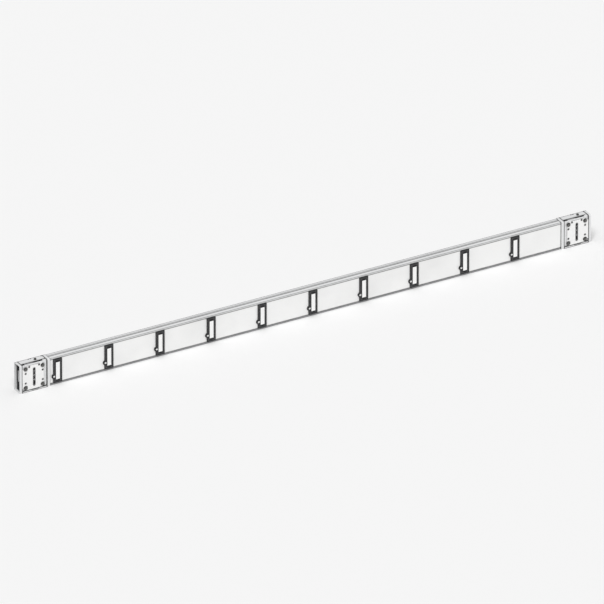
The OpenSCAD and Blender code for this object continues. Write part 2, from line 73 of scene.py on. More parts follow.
# %% [markdown]
# ## The camera
# A technical drawing shows parallel edges as parallel. A very long lens from far away does nearly
# the same, and unlike an orthographic camera it still takes in the whole section when it is turned
# to look at it from the front. It stands to the left of the section and a little above it, so that
# the open left end, the front and the top all show.

# %% Place the camera
AZIMUTH = math.radians(-30.0)
ELEVATION = math.radians(27.5)
VIEW_WIDTH = 3.297
LENS = 1200.0
AIM_LEFT = 0.0135
AIM_DOWN = 0.0065

middle = Vector((low + high) / 2)
toward_camera = Vector((
    math.sin(AZIMUTH) * math.cos(ELEVATION),
    -math.cos(AZIMUTH) * math.cos(ELEVATION),
    math.sin(ELEVATION),
))
to_right = Vector((math.cos(AZIMUTH), math.sin(AZIMUTH), 0.0))
upward = toward_camera.cross(to_right)
camera_data = bpy.data.cameras.new("view_camera")
camera_data.lens = LENS
camera_distance = VIEW_WIDTH * LENS / camera_data.sensor_width
camera_data.clip_end = 2 * camera_distance
camera = bpy.data.objects.new("view_camera", camera_data)
camera.location = middle + camera_distance * toward_camera - AIM_LEFT * to_right - AIM_DOWN * upward
camera.rotation_euler = toward_camera.to_track_quat("Z", "Y").to_euler()
bpy.context.scene.collection.objects.link(camera)
bpy.context.scene.camera = camera
print("camera distance in metres:", round(camera_distance, 1))

# %% [markdown]
# ## Where things are
# The places come from the loaded model: a node's box gives its faces, and a joint gives its axis.
# The few sizes that a box can't tell, such as a sheet's thickness, are repeated in this lesson, in
# metres, each where it is first needed.

# %% Find the casing
MM = 0.001
RIB_HEIGHT = 1.0 * MM

channel_low, channel_high = (np.array(corner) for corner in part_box("top_channel"))
casing_middle_y = (channel_low[1] + channel_high[1]) / 2
casing_top = channel_high[2] - RIB_HEIGHT
casing_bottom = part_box("bottom_channel")[0][2]
middle_z = (casing_top + casing_bottom) / 2
half_depth = (channel_high[1] - channel_low[1]) / 2
print("casing top and bottom:", round(casing_top, 4), round(casing_bottom, 4))

# %% Find the outlets
LOCK_SIDE = 23.0 * MM

outlet_numbers = range(1, 11)
joints = {joint["name"]: joint for joint in frame["joints"]}
lock_axes = np.array([joints[f"lock_turn_{n:02d}"]["pos_m"] for n in outlet_numbers])
outlet_x = lock_axes[:, 0] + LOCK_SIDE
frame_face_y = lock_axes[0][1]
print("outlet middles:", outlet_x.round(4)[:2].tolist(), "...")

# %% Find the joints at both ends
JOINT_FROM_END = 90.5 * MM
CLAMP_HEAD = 6.72 * MM
COLLAR_CHAMFER = 5.0 * MM

joint_x = high[0] - JOINT_FROM_END
strip_top = high[2] - CLAMP_HEAD
housing_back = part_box("right_housing")[1][1]
strip_edge = housing_back - COLLAR_CHAMFER
plate_low, plate_high = (np.array(corner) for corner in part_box("right_front_plate"))
print("joints at +-", round(joint_x, 4), "strip top:", round(strip_top, 4))

# %% [markdown]
# ## Shader maths in Python
# A finish is a node tree. Writing `1 - mask * 0.5` is easier to read than wiring three Math nodes,
# so a `Wire` stands for one output socket and turns each operator into a node.

# %% Wrap a socket in a small class
class Wire:
    """An output socket of a finish. An operator on it adds the Math node that works it out."""

    def __init__(self, finish, socket):
        self.finish = finish
        self.socket = socket

    def math(self, operation, *values):
        """Math node: the operation on this wire and the values."""
        sockets = dict(enumerate((self, *values)))
        return self.finish.node("ShaderNodeMath", {"operation": operation}, sockets)

    def __add__(self, other):
        return self.math("ADD", other)

    def __sub__(self, other):
        return self.math("SUBTRACT", other)

    def __mul__(self, other):
        return self.math("MULTIPLY", other)

    def __neg__(self):
        return self.math("MULTIPLY", -1.0)

    def __rsub__(self, other):
        return -self + other

    def __abs__(self):
        return self.math("ABSOLUTE")

    __radd__ = __add__
    __rmul__ = __mul__

    def above(self, edge, softness):
        """0 below edge, 1 past edge + softness, and a straight ramp between."""
        return self.finish.node(
            "ShaderNodeMapRange", {"clamp": True},
            {"Value": self, "From Min": edge, "From Max": edge + softness},
        )

    def near(self, place, reach):
        """1 where this wire is at the place, falling to 0 at the distance reach."""
        return 1.0 - abs(self - place).above(0.0, reach)

    def distance(self, other):
        """How far off a point is that is off by this wire and, square to it, by the other: the
        root of the sum of both squares."""
        return (self * self + other * other).math("SQRT")

    def broken_up(self, cloud):
        """This mask at 72 to 122 percent, as a cloud says, so that dust and painted shade look uneven, not drawn
        on.
        """
        return self * (0.72 + 0.5 * cloud)


print("a wire knows + - * abs, and", [name for name in vars(Wire) if name[0] != "_"])

# %% [markdown]
# ## A finish
# `Finish` starts a material around one Principled shader, and its method `node` adds every other
# node. Colours don't go through Math nodes, which would turn them grey, so mixing colours has a
# method of its own. A Mix node has a set of sockets for each kind of value, and the ones for
# colours are found by their numbers.

# %% Start a material
MIX_FACTOR, MIX_COLOR_A, MIX_COLOR_B, MIX_COLOR_RESULT = 0, 6, 7, 2


class Finish:
    """A material around one Principled shader, with methods that add nodes to it."""

    def __init__(self, name, base_color, roughness, metallic=0.0):
        self.material = bpy.data.materials.new(name)
        self.material.use_nodes = True
        self.tree = self.material.node_tree
        self.shader = self.tree.nodes["Principled BSDF"]
        self.shader.inputs["Base Color"].default_value = (*base_color, 1.0)
        self.shader.inputs["Roughness"].default_value = roughness
        self.shader.inputs["Metallic"].default_value = metallic
        self.place = self.node("ShaderNodeTexCoord", {}, {}, "Object")

    def node(self, kind, settings, inputs, output=0):
        """Adds a node of this kind, sets its settings, then its sockets, and returns one output."""
        made = self.tree.nodes.new(kind)
        for setting, value in settings.items():
            setattr(made, setting, value)
        for key, value in inputs.items():
            if isinstance(value, Wire):
                self.tree.links.new(value.socket, made.inputs[key])
            else:
                made.inputs[key].default_value = value
        return Wire(self, made.outputs[output])

    def feed(self, socket, wire):
        """Lets a wire drive one socket of the shader."""
        self.tree.links.new(wire.socket, self.shader.inputs[socket])

    def blend(self, mask, color_a, color_b):
        """Colour a where the mask is 0 and colour b where it is 1."""
        a, b = (color if isinstance(color, Wire) else (*color, 1.0) for color in (color_a, color_b))
        sockets = {MIX_FACTOR: mask, MIX_COLOR_A: a, MIX_COLOR_B: b}
        return self.node("ShaderNodeMix", {"data_type": "RGBA"}, sockets, MIX_COLOR_RESULT)

    def bump(self, height, depth, strength):
        """Bends the shading normal by a height between 0 and 1 that stands for so many metres."""
        sockets = {"Height": height, "Distance": depth, "Strength": strength}
        self.feed("Normal", self.node("ShaderNodeBump", {}, sockets))

    def noise(self, per_metre, detail=2.0, at=None):
        """Cloudy noise between 0 and 1 with so many clouds a metre."""
        return self.node(
            "ShaderNodeTexNoise", {"noise_dimensions": "3D"},
            {"Vector": at or self.place, "Scale": per_metre, "Detail": detail},
        )

    def cells(self, per_metre):
        """Distance to the nearest of many scattered points, small at each point."""
        return self.node(
            "ShaderNodeTexVoronoi", {"voronoi_dimensions": "3D"},
            {"Vector": self.place, "Scale": per_metre}, "Distance",
        )

    def stretched(self, along_x, along_y, along_z):
        """The place on the piece, scaled differently along each axis."""
        scale = (along_x, along_y, along_z)
        return self.node("ShaderNodeMapping", {}, {"Vector": self.place, "Scale": scale})

    def axis(self, name):
        """One coordinate of the place on the piece: X, Y or Z, in metres."""
        return self.node("ShaderNodeSeparateXYZ", {}, {0: self.place}, name)


print("a finish knows", [name for name in vars(Finish) if name[0] != "_"])

# %% [markdown]
# ## Marks that follow the shape
# Dust and grease gather at edges, screws and slots, and painted shade darkens the seams and
# creases between parts. Their masks are distances: from a plane, from an edge, or from the middle
# of a bolt. The section is nearly the same at both ends, and above and below its middle, so a
# coordinate is folded at the middle and one mask serves both sides.

# %% Masks from distances
EDGE_DUST_AND_SHADE = 7.0 * MM


def folded(finish, name, place):
    """Distance from the place along an axis. X is folded first, so one place serves both ends."""
    along = finish.axis(name)
    return abs((abs(along) if name == "X" else along) - place)


def corner(finish, y, z, reach):
    """1 on the long edges at the distance y from the middle of the casing and the height z."""
    side = folded(finish, "Y", casing_middle_y) - y
    return side.distance(finish.axis("Z") - z).near(0.0, reach)


def top_edge(finish, y, top):
    """Dust on a top face along its edge at y. What lies a millimetre lower stays clean."""
    on_top = finish.axis("Z").above(top - 1.0 * MM, softness=0.5 * MM)
    return folded(finish, "Y", y).near(0.0, EDGE_DUST_AND_SHADE) * on_top


def round_spots(finish, side, rise, reach, both=True):
    """1 at the spots (+-side, +-rise) from each joint's middle, falling to 0 at the distance reach.
    Without both, only at the upper ones."""
    height = folded(finish, "Z", middle_z) if both else finish.axis("Z") - middle_z
    return (folded(finish, "X", joint_x) - side).distance(height - rise).near(0.0, reach)


print("metres that dust reaches from an edge:", EDGE_DUST_AND_SHADE)

# %% [markdown]
# ## Powder-coated sheet
# The casing and the joint housings are sheet steel with a baked powder coat: one satin colour, a
# faint orange-peel texture, and slow clouds of tone from handling. Painted shade darkens where two
# sheets meet and the creases at the feet of the rib, with a little dust there too; bends get rubbed,
# and old grease stays around the bolts. A painted line would look drawn on; a mask broken up by
# noise doesn't. The bottom channel has a darker copy of the coat: painted shade for the lower band.

# %% Mix a powder coat
def powder_coat(name, color, marks_of):
    """Satin coat: 1.4 mm orange peel, 25 cm tone clouds, fine dust, and the marks that a function
    of the finish returns as masks, thicker and thinner over a few centimetres."""
    finish = Finish(name, color, 0.4)
    shade = tuple(0.88 * c for c in color)
    # The dark that every mark mixes in: dust and grease, and painted shade in seams and creases
    soot_and_shade = tuple(0.10 * c for c in color)
    peel = finish.noise(700.0, detail=1.0)
    clouds = finish.noise(4.0, detail=4.0)
    dust = finish.noise(160.0, detail=3.0)
    tone = clouds.above(0.42, 0.3) * 0.6 + dust.above(0.55, 0.3) * 0.25
    paint = finish.blend(tone, color, shade)
    marks = marks_of(finish)
    patch_clouds = finish.noise(45.0)
    paint = finish.blend(sum(marks[1:], marks[0]).broken_up(patch_clouds), paint, soot_and_shade)
    finish.feed("Base Color", paint)
    finish.feed("Roughness", 0.36 + 0.12 * clouds + 0.08 * dust)
    finish.bump(peel, 0.06 * MM, 0.5)
    return finish


print("a powder coat can be mixed now")

# %% Say where the casing gets dusty and where shade is painted on it
LIP_HEIGHT = 9.0 * MM
RIB_WIDTH = 10.0 * MM
RIB_FROM_BACK = 24.5 * MM
HOUSING_LENGTH = 188.0 * MM
RIB_FOOT_SHADE_AND_DUST = 5.0 * MM
LIP_SEAM_SHADE = 4.0 * MM
PANEL_SEAM_SHADE = 6.0 * MM
BEND_RUB = 4.0 * MM
RUB_STRENGTH = 0.9

# Painted shade along the foot of each lip, where it meets the panel
lip_seams = (casing_top - LIP_HEIGHT, casing_bottom + LIP_HEIGHT)


def collar_foot(finish):
    """Painted shade in the seam where the casing goes into the housings."""
    return folded(finish, "X", high[0] - HOUSING_LENGTH).near(0.0, EDGE_DUST_AND_SHADE)


def channel_marks(finish):
    """Painted shade with some dust in the creases at the feet of the rib, dust along the back edge, painted shade
    along the lips and at the collars, and rubbed bends.
    """
    rib_middle = casing_middle_y + half_depth - RIB_FROM_BACK
    # Painted shade in the creases at the rib's feet, with some dust
    feet = folded(finish, "Y", rib_middle).near(RIB_WIDTH / 2, RIB_FOOT_SHADE_AND_DUST)
    back = top_edge(finish, casing_middle_y + half_depth, casing_top)
    lips = [folded(finish, "Z", z).near(0.0, LIP_SEAM_SHADE) for z in lip_seams]
    bends = [corner(finish, half_depth, z, BEND_RUB) for z in (casing_top, casing_bottom)]
    return [feet, back, collar_foot(finish), *lips, *(bend * RUB_STRENGTH for bend in bends)]


def panel_marks(finish):
    """Painted shade in the corner under each lip and at the collars."""
    lips = [folded(finish, "Z", z).near(0.0, PANEL_SEAM_SHADE) for z in lip_seams]
    return [*lips, collar_foot(finish)]


print("lip seams at", [round(seam, 4) for seam in lip_seams])

# %% Say where the housings get dusty and greasy, and where shade is painted on them
BOLT = (53.0 * MM, 57.0 * MM)
COLLAR_INSETS = np.array([16.5, 170.0]) * MM
STRIP_HEIGHT = 11.0 * MM
HALF_STRIP = 75.0 * MM
CUT_CORNER = 13.0 * MM
PLATE_OUTLINE_SHADE = 4.0 * MM
# A strength over 1 makes the middle of a mark solid
COLLAR_SHADE, COLLAR_STRENGTH = 5.5 * MM, 1.25
STRIP_SHADE, STRIP_STRENGTH = 4.5 * MM, 1.5
HOUSING_GREASE, HOUSING_GREASE_STRENGTH = 18.0 * MM, 1.6


def housing_marks(finish):
    """Painted shade inside the collars, along the strips and round the joint plates, dust along the top strip's
    edge, and old grease at the bolts. The lines along a plate stop short of its cut corners."""
    collar_places = high[0] - COLLAR_INSETS
    collars = [folded(finish, "X", x).near(0.0, COLLAR_SHADE) for x in collar_places]
    strips = [folded(finish, "Z", z).near(0.0, STRIP_SHADE) for z in (0.0, STRIP_HEIGHT)]
    off_middle = folded(finish, "X", sum(collar_places) / 2)
    between = 1.0 - off_middle.above(HALF_STRIP, softness=1.0 * MM)

    along_x = folded(finish, "X", (plate_low[0] + plate_high[0]) / 2)
    along_z = folded(finish, "Z", middle_z)
    half_length, _, half_height = (plate_high - plate_low) / 2
    clear_x, clear_z = (place - CUT_CORNER for place in BOLT)
    upright = 1.0 - along_z.above(clear_z, softness=2.0 * MM)
    level = 1.0 - along_x.above(clear_x, softness=2.0 * MM)

    return [
        # Painted shade at the collars, the strips and round the plate, which stands proud of the wall
        *(collar * COLLAR_STRENGTH for collar in collars),
        *(strip * STRIP_STRENGTH * between for strip in strips),
        along_x.near(half_length, PLATE_OUTLINE_SHADE) * upright,
        along_z.near(half_height, PLATE_OUTLINE_SHADE) * level,
        top_edge(finish, strip_edge, strip_top),
        round_spots(finish, *BOLT, HOUSING_GREASE) * HOUSING_GREASE_STRENGTH,
    ]


print("a bolt is so far from the middle of its joint:", BOLT)

# %% Say where the joint plates get dusty and greasy
SIDE_HOLE = (53.0 * MM, 29.5 * MM)
EDGE_HOLE = (30.6 * MM, 66.0 * MM)
SLOT_WIDTH = 12.0 * MM
SLOT_HEIGHT = 108.0 * MM
SLOT_DUST = 5.0 * MM
PLATE_GREASE, PLATE_GREASE_STRENGTH = 17.0 * MM, 1.2
HOLE_GREASE, HOLE_GREASE_STRENGTH = 9.0 * MM, 1.6


def plate_marks(finish):
    """Old grease at the bolts and the small holes, and dust round the slot. The slot has round
    ends, so past its straight part the distance is taken from the middle of the end's circle."""
    at_sides = round_spots(finish, *SIDE_HOLE, HOLE_GREASE)
    at_edge = round_spots(finish, *EDGE_HOLE, HOLE_GREASE, both=False)
    past_straight = folded(finish, "Z", middle_z) - (SLOT_HEIGHT - SLOT_WIDTH) / 2
    from_slot = folded(finish, "X", joint_x).distance(past_straight.math("MAXIMUM", 0.0))
    return [
        round_spots(finish, *BOLT, PLATE_GREASE) * PLATE_GREASE_STRENGTH,
        at_sides * HOLE_GREASE_STRENGTH,
        at_edge * HOLE_GREASE_STRENGTH,
        from_slot.near(SLOT_WIDTH / 2, SLOT_DUST),
    ]


print("side holes of a plate:", SIDE_HOLE, "holes near its edge:", EDGE_HOLE)

# %% Mix the five coats
LIGHT_GREY = (0.74, 0.745, 0.75)
channel_paint = powder_coat("channel_paint", LIGHT_GREY, channel_marks)
# A darker copy of the channel's coat for the bottom channel: painted shade for the lower band
foot_paint = powder_coat("foot_paint", (0.36, 0.365, 0.37), channel_marks)
panel_paint = powder_coat("panel_paint", (0.87, 0.87, 0.865), panel_marks)
housing_paint = powder_coat("housing_paint", LIGHT_GREY, housing_marks)
plate_paint = powder_coat("plate_paint", (0.88, 0.88, 0.875), plate_marks)
print("nodes in the housing's coat:", len(housing_paint.tree.nodes))

# %% [markdown]
# ## Moulded plastics
# The outlet frames are black, glass-filled mouldings. The flat face between the rims keeps the grey
# bloom of its spark-eroded texture, while the rims, the bosses and the finger scoops are polished
# darker. The doors are a smoother white moulding with a black hinge strip moulded on; a thin black
# rim on their edges is painted shade for the gap to the frame. The masks come from the place on the
# piece: a frame's face is one depth, and the edges of a door are at one distance from its outlet's
# middle once X is wrapped at the outlet pitch.

# %% Mix the plastics
def moulded(name, color, worn_color, roughness, grain_depth):
    """Mould texture of 0.7 mm, flecks of filler, and a little polish where hands touch it."""
    finish = Finish(name, color, roughness)
    grain = finish.noise(1400.0)
    flecks = 1.0 - finish.cells(900.0).above(0.08, 0.1)
    touch = finish.noise(30.0, detail=3.0).above(0.5, 0.35)
    finish.paint = finish.blend(touch * 0.8 + flecks * 0.2, color, worn_color)
    finish.feed("Base Color", finish.paint)
    finish.feed("Roughness", roughness + 0.12 * grain - 0.1 * touch)
    finish.bump(grain, grain_depth, 0.6)
    return finish


WHITE = (0.90, 0.90, 0.895)
HANDLED_WHITE = (0.84, 0.84, 0.83)
cap_white = moulded("cap_white", WHITE, HANDLED_WHITE, 0.3, 0.03 * MM)
insulator_grey = moulded("insulator_grey", (0.50, 0.50, 0.505), (0.58, 0.58, 0.585), 0.55, 0.08 * MM)
block_black = moulded("block_black", (0.03, 0.03, 0.032), (0.06, 0.06, 0.062), 0.45, 0.06 * MM)
print("plain plastics mixed")

# %% Mix the frames' black, with its bloom
FRAME_BLACK = (0.012, 0.012, 0.013)
FACE_BLOOM = (0.026, 0.026, 0.028)
frame_black = moulded("frame_black", FRAME_BLACK, (0.028, 0.028, 0.03), 0.5, 0.08 * MM)
face_zone = frame_black.axis("Y").near(frame_face_y, 0.4 * MM)
frame_black.feed("Base Color", frame_black.blend(face_zone, frame_black.paint, FACE_BLOOM))
print("the bloom is on the face at y =", round(frame_face_y, 4))

# %% Mix the doors' white, with its black hinge strip and painted shade on its edges
OUTLET_PITCH = 320.0 * MM
HINGE_STRIP = 12.4 * MM
DOOR_SHADE_RIM = 0.9 * MM
CRISP = 0.1 * MM

door_white = moulded("door_white", WHITE, HANDLED_WHITE, 0.3, 0.03 * MM)
door_low, door_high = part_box("outlet_door_01")
from_first = door_white.axis("X") - outlet_x[0]
from_outlet = from_first.math("WRAP", OUTLET_PITCH / 2, -OUTLET_PITCH / 2)
hinge_zone = from_outlet.above(HINGE_STRIP, CRISP)
# The black rim on the free edge and the ends is painted shade for the gap between door and frame
free_edge_shade = (-from_outlet).above(outlet_x[0] - door_low[0] - DOOR_SHADE_RIM, CRISP)
half_door = (door_high[2] - door_low[2]) / 2
door_end_shade = folded(door_white, "Z", middle_z).above(half_door - DOOR_SHADE_RIM, CRISP)
hinge_and_shade_rim = hinge_zone + free_edge_shade + door_end_shade
door_white.feed("Base Color", door_white.blend(hinge_and_shade_rim, door_white.paint, FRAME_BLACK))
print("half a door's height:", round(half_door, 4))

# %% [markdown]
# ## Bare metals
# The bars are drawn through a die, which leaves fine lines along their length. Noise squeezed in
# two directions and left long in the third gives such lines. Bolts and frame screws are zinc plated
# and have gone dull, a cloudy dark grey. The strip screws and the bushes are blackened steel.

# %% Mix the metals
def drawn_metal(name, color, dull_color, roughness):
    """Fine lines that run along the section, and duller clouds of 4 cm."""
    finish = Finish(name, color, roughness, metallic=1.0)
    lines = finish.noise(30.0, detail=4.0, at=finish.stretched(0.6, 60.0, 60.0))
    clouds = finish.noise(25.0, detail=3.0)
    finish.feed("Base Color", finish.blend(clouds.above(0.4, 0.4), color, dull_color))
    finish.feed("Roughness", roughness + 0.18 * lines + 0.1 * clouds)
    finish.bump(lines, 0.03 * MM, 0.4)
    return finish


def plated_metal(name, color, stain_color, roughness):
    """Crystals of 1 mm, and stains of 5 mm from the bath."""
    finish = Finish(name, color, roughness, metallic=1.0)
    crystals = finish.cells(1000.0)
    stains = finish.noise(200.0, detail=4.0)
    finish.feed("Base Color", finish.blend(stains.above(0.45, 0.25), color, stain_color))
    finish.feed("Roughness", roughness + 0.15 * crystals + 0.1 * stains)
    finish.bump(crystals, 0.02 * MM, 0.4)
    return finish


bar_metal = drawn_metal("bar_metal", (0.78, 0.79, 0.80), (0.66, 0.67, 0.68), 0.25)
bolt_zinc = plated_metal("bolt_zinc", (0.17, 0.17, 0.165), (0.09, 0.089, 0.085), 0.34)
black_steel = plated_metal("black_steel", (0.035, 0.035, 0.036), (0.02, 0.02, 0.021), 0.38)
print("metals mixed")

# %% [markdown]
# ## Dress the construction
# Every node first gets the finish of its material slot. Nodes whose shape is already right, such
# as the flat panels and the supports inside the casing, need nothing more.

# %% Give each node its finish
def cover(piece, finish):
    """Gives the whole piece one finish."""
    piece.data.materials.clear()
    piece.data.materials.append(finish.material)


slot_finishes = {
    "casing_channel": channel_paint,
    "casing_panel": panel_paint,
    "bar_metal": bar_metal,
    "insulator": insulator_grey,
    "outlet_black": frame_black,
    "door_white": door_white,
    "lock_plastic": frame_black,
    "housing_paint": housing_paint,
    "plate_paint": plate_paint,
    "bolt_zinc": bolt_zinc,
}
record = frame["record"]
slot_of = {part["node"]: part["material_slot"] for part in record["subparts"]}
bodies = record["behaviour"]["bodies"]
body_of = {node: body for body, members in bodies.items() for node in members}
for node, slot in slot_of.items():
    cover(nodes[node], slot_finishes[slot])
print("dressed nodes:", len(slot_of))

# %% [markdown]
# ## Surfaces from grids
# Each new piece below is a surface over a grid of two parameters, such as "how far along" and "how
# far around". numpy works out all its points at once. The faces of such a grid are always the same
# pattern of quads, so one function makes them for every piece.

# %% Turn grids of points into meshes
def grid_quads(rows, columns):
    """Quads of a grid that closes on itself sideways: (i, j), (i, j+1), (i+1, j+1), (i+1, j)."""
    i, j = np.meshgrid(np.arange(rows - 1), np.arange(columns), indexing="ij")
    right = (j + 1) % columns
    here, above = i * columns, (i + 1) * columns
    return np.stack((here + j, here + right, above + right, above + j), axis=-1).reshape(-1, 4)


def tube_mesh(grid):
    """Points and faces of a tube given as rings of points, with a flat cap on each end ring."""
    rows, columns = grid.shape[:2]
    around = np.arange(columns)
    faces = grid_quads(rows, columns).tolist()
    faces += [around[::-1].tolist(), ((rows - 1) * columns + around).tolist()]
    return grid.reshape(-1, 3), faces


def joined(meshes):
    """Several (points, faces) as one."""
    points = [mesh_points for mesh_points, _ in meshes]
    starts = np.cumsum([0] + [len(p) for p in points[:-1]])
    faces = [
        [start + number for number in face]
        for start, (_, some) in zip(starts, meshes) for face in some
    ]
    return np.concatenate(points), faces


print("a 3 by 4 grid has", len(grid_quads(3, 4)), "quads")

# %% Turn a mesh into a piece
def make_piece(name, mesh_data, slot, body, replaced=(), finish=None):
    """A new object at the origin with a slot's finish, riding on a body in place of some nodes."""
    mesh = bpy.data.meshes.new(name)
    points, faces = mesh_data
    mesh.from_pydata(points.tolist(), [], faces)
    work = bmesh.new()
    work.from_mesh(mesh)
    bmesh.ops.remove_doubles(work, verts=work.verts, dist=0.001 * MM)
    bmesh.ops.recalc_face_normals(work, faces=work.faces)
    work.to_mesh(mesh)
    work.free()
    mesh.polygons.foreach_set("use_smooth", np.ones(len(mesh.polygons), dtype=bool))
    mesh.set_sharp_from_angle(angle=math.radians(35))
    piece = bpy.data.objects.new(name, mesh)
    bpy.context.scene.collection.objects.link(piece)
    cover(piece, finish or slot_finishes[slot])
    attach(piece, body)
    if replaced:
        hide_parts(*replaced)


print("finishes a new piece can take by its slot:", len(slot_finishes))

# %% [markdown]
# ## Folded channels
# A press brake leaves each bend with a radius, and that soft edge is what catches the light along
# the top of the casing. The channel's section is a polygon whose corners are replaced by arcs, and
# it is carried along X. The raised rib is rolled into the web, so the section swells there. It
# fades out before the collars: each ring is a blend of a flat section and a ribbed one.

# %% Round the corners of a polygon
def rounded_polygon(corners, radii, steps=5):
    """Each corner becomes an arc. With the turning angle a and the radius r, the arc starts
    r tan(a/2) before the corner, and its points are centre + r (cos, sin) of angles spread over a."""
    corners = np.asarray(corners, dtype=float)
    radii = np.asarray(radii, dtype=float)[:, None]
    before = corners - np.roll(corners, 1, axis=0)
    after = np.roll(corners, -1, axis=0) - corners
    before /= np.linalg.norm(before, axis=1, keepdims=True)
    after /= np.linalg.norm(after, axis=1, keepdims=True)
    cross = before[:, 0] * after[:, 1] - before[:, 1] * after[:, 0]
    turn = np.arctan2(cross, (before * after).sum(axis=1))
    start = corners - before * radii * np.tan(np.abs(turn) / 2)[:, None]
    normal = np.sign(turn)[:, None] * np.stack([-before[:, 1], before[:, 0]], axis=1)
    centre = start + radii * normal
    first = np.arctan2(-normal[:, 1], -normal[:, 0])[:, None]
    angle = first + turn[:, None] * np.linspace(0, 1, steps)
    arcs = centre[:, None, :] + radii[:, :, None] * np.stack([np.cos(angle), np.sin(angle)], axis=-1)
    return arcs.reshape(-1, 2)


def along_x(section, x_places):
    """Rings of the same section at several places along X."""
    ring = np.broadcast_to(section, (len(x_places), *section.shape))
    x = np.broadcast_to(np.asarray(x_places)[:, None], ring.shape[:2])
    return np.stack([x, ring[..., 0], ring[..., 1]], axis=-1)


square = [(1, 0), (1, 1), (0, 1), (0, 0)]
print("a square with rounded corners has", len(rounded_polygon(square, [0.2] * 4)), "points")

# %% Draw the channel's section
SHEET = 1.5 * MM
RIB_SLOPE = 0.6 * MM
LIP_EDGE, BEND, BEND_INSIDE, RIB_BEND, RIB_INSIDE = 0.7, 2.0, 0.6, 0.5, 0.3
OUTSIDE_RADII = [LIP_EDGE, BEND, *[RIB_BEND] * 4, BEND, LIP_EDGE]
INSIDE_RADII = [LIP_EDGE, BEND_INSIDE, *[RIB_INSIDE] * 4, BEND_INSIDE, LIP_EDGE]
CHANNEL_RADII = np.array(OUTSIDE_RADII + INSIDE_RADII) * MM
# A nearly flat rib keeps the points of both sections in step
FLAT = 0.02 * MM


def channel_corners(rib_height):
    """Section of a channel, web up, as (y, z) from the casing's middle and top: outside first."""
    d, s, lip = half_depth, SHEET, LIP_HEIGHT
    left = half_depth - RIB_FROM_BACK - RIB_WIDTH / 2
    right = left + RIB_WIDTH
    outside = [
        (d, -lip), (d, 0), (right, 0), (right - RIB_SLOPE, rib_height),
        (left + RIB_SLOPE, rib_height), (left, 0), (-d, 0), (-d, -lip),
    ]
    inside = [
        (-d + s, -lip), (-d + s, -s), (left, -s), (left + RIB_SLOPE, rib_height - s),
        (right - RIB_SLOPE, rib_height - s), (right, -s), (d - s, -s), (d - s, -lip),
    ]
    return outside + inside


flat_section = rounded_polygon(channel_corners(FLAT), CHANNEL_RADII)
ribbed_section = rounded_polygon(channel_corners(RIB_HEIGHT), CHANNEL_RADII)
print("channel section points:", len(flat_section))

# %% Build the two channels
RIB_STOPS_SHORT = 18.3 * MM
RIB_FADE = 12.0 * MM

start_x, end_x = channel_low[0], channel_high[0]
rib_start, rib_end = start_x + RIB_STOPS_SHORT, end_x - RIB_STOPS_SHORT
fade = np.linspace(0, 1, 9) * RIB_FADE
stations = np.concatenate([[start_x], rib_start + fade, rib_end - fade[::-1], [end_x]])
swell = np.clip(np.minimum(stations - rib_start, rib_end - stations) / RIB_FADE, 0, 1)
swell = (swell * swell * (3 - 2 * swell))[:, None, None]
rings = (1 - swell) * flat_section + swell * ribbed_section
ring_x = np.broadcast_to(stations[:, None, None], (*rings.shape[:2], 1))
top_grid = np.concatenate([ring_x, rings], axis=-1)
top_grid[..., 1:] += (casing_middle_y, casing_top)
bottom_grid = along_x(flat_section, [start_x, end_x])
bottom_grid[..., 1:] = bottom_grid[..., 1:] * (1, -1) + (casing_middle_y, casing_bottom)
channels = (("top_channel", top_grid, channel_paint), ("bottom_channel", bottom_grid, foot_paint))
for name, grid, paint in channels:
    make_piece(f"folded_{name}", tube_mesh(grid), "casing_channel", "section", [name], paint)
print("channel rings:", len(stations))

# %% [markdown]
# ## Drawn bars
# A drawn bar has softly rounded corners. The same sweep makes it, with a rounded rectangle as its
# section. The bars show at the open ends and through the slots of the joint plates.

# %% Build the bars
BAR_EDGE = 0.8 * MM

bar_nodes = [f"busbar_{n}" for n in range(1, 5)]
for node in bar_nodes:
    (x0, y0, z0), (x1, y1, z1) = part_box(node)
    section = rounded_polygon([(y1, z0), (y1, z1), (y0, z1), (y0, z0)], [BAR_EDGE] * 4)
    make_piece(f"drawn_{node}", tube_mesh(along_x(section, [x0, x1])), "bar_metal", "section", [node])
print("bars:", len(bar_nodes))

# %% [markdown]
# ## Rounded copies
# Housings, plates, frames and doors have the right shape already, but their edges are razor sharp,
# and nothing real is. A node's own mesh is loose triangles and stays as it is: a copy gets its
# doubles merged and its flat areas joined, and a Bevel modifier rounds what is sharper than 40
# degrees. Hardened normals keep the flat faces flat to the light.

# %% Round the edges of a copy
def rounded_copy(node, radius, finish=None, slivers=0.0):
    """A merged copy of a node with edges of the given radius, in place of the node. Steps up to
    the height slivers, where two of its solids overlap, are merged away first."""
    work = bmesh.new()
    work.from_mesh(nodes[node].data)
    bmesh.ops.remove_doubles(work, verts=work.verts, dist=max(slivers, 0.002 * MM))
    if slivers:
        bmesh.ops.dissolve_degenerate(work, dist=slivers, edges=work.edges)
    nearly_flat = math.radians(0.6)
    bmesh.ops.dissolve_limit(work, angle_limit=nearly_flat, verts=work.verts, edges=work.edges)
    mesh = bpy.data.meshes.new(f"rounded_{node}")
    work.to_mesh(mesh)
    work.free()
    mesh.polygons.foreach_set("use_smooth", np.ones(len(mesh.polygons), dtype=bool))
    mesh.set_sharp_from_angle(angle=math.radians(30))
    piece = bpy.data.objects.new(f"rounded_{node}", mesh)
    bpy.context.scene.collection.objects.link(piece)
    bevel = piece.modifiers.new("rounding", "BEVEL")
    bevel.width = radius
    bevel.segments = 2
    bevel.limit_method = "ANGLE"
    bevel.angle_limit = math.radians(40)
    bevel.harden_normals = True
    slot = slot_of[node]
    cover(piece, finish or slot_finishes[slot])
    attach(piece, body_of[node])
    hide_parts(node)
    return piece


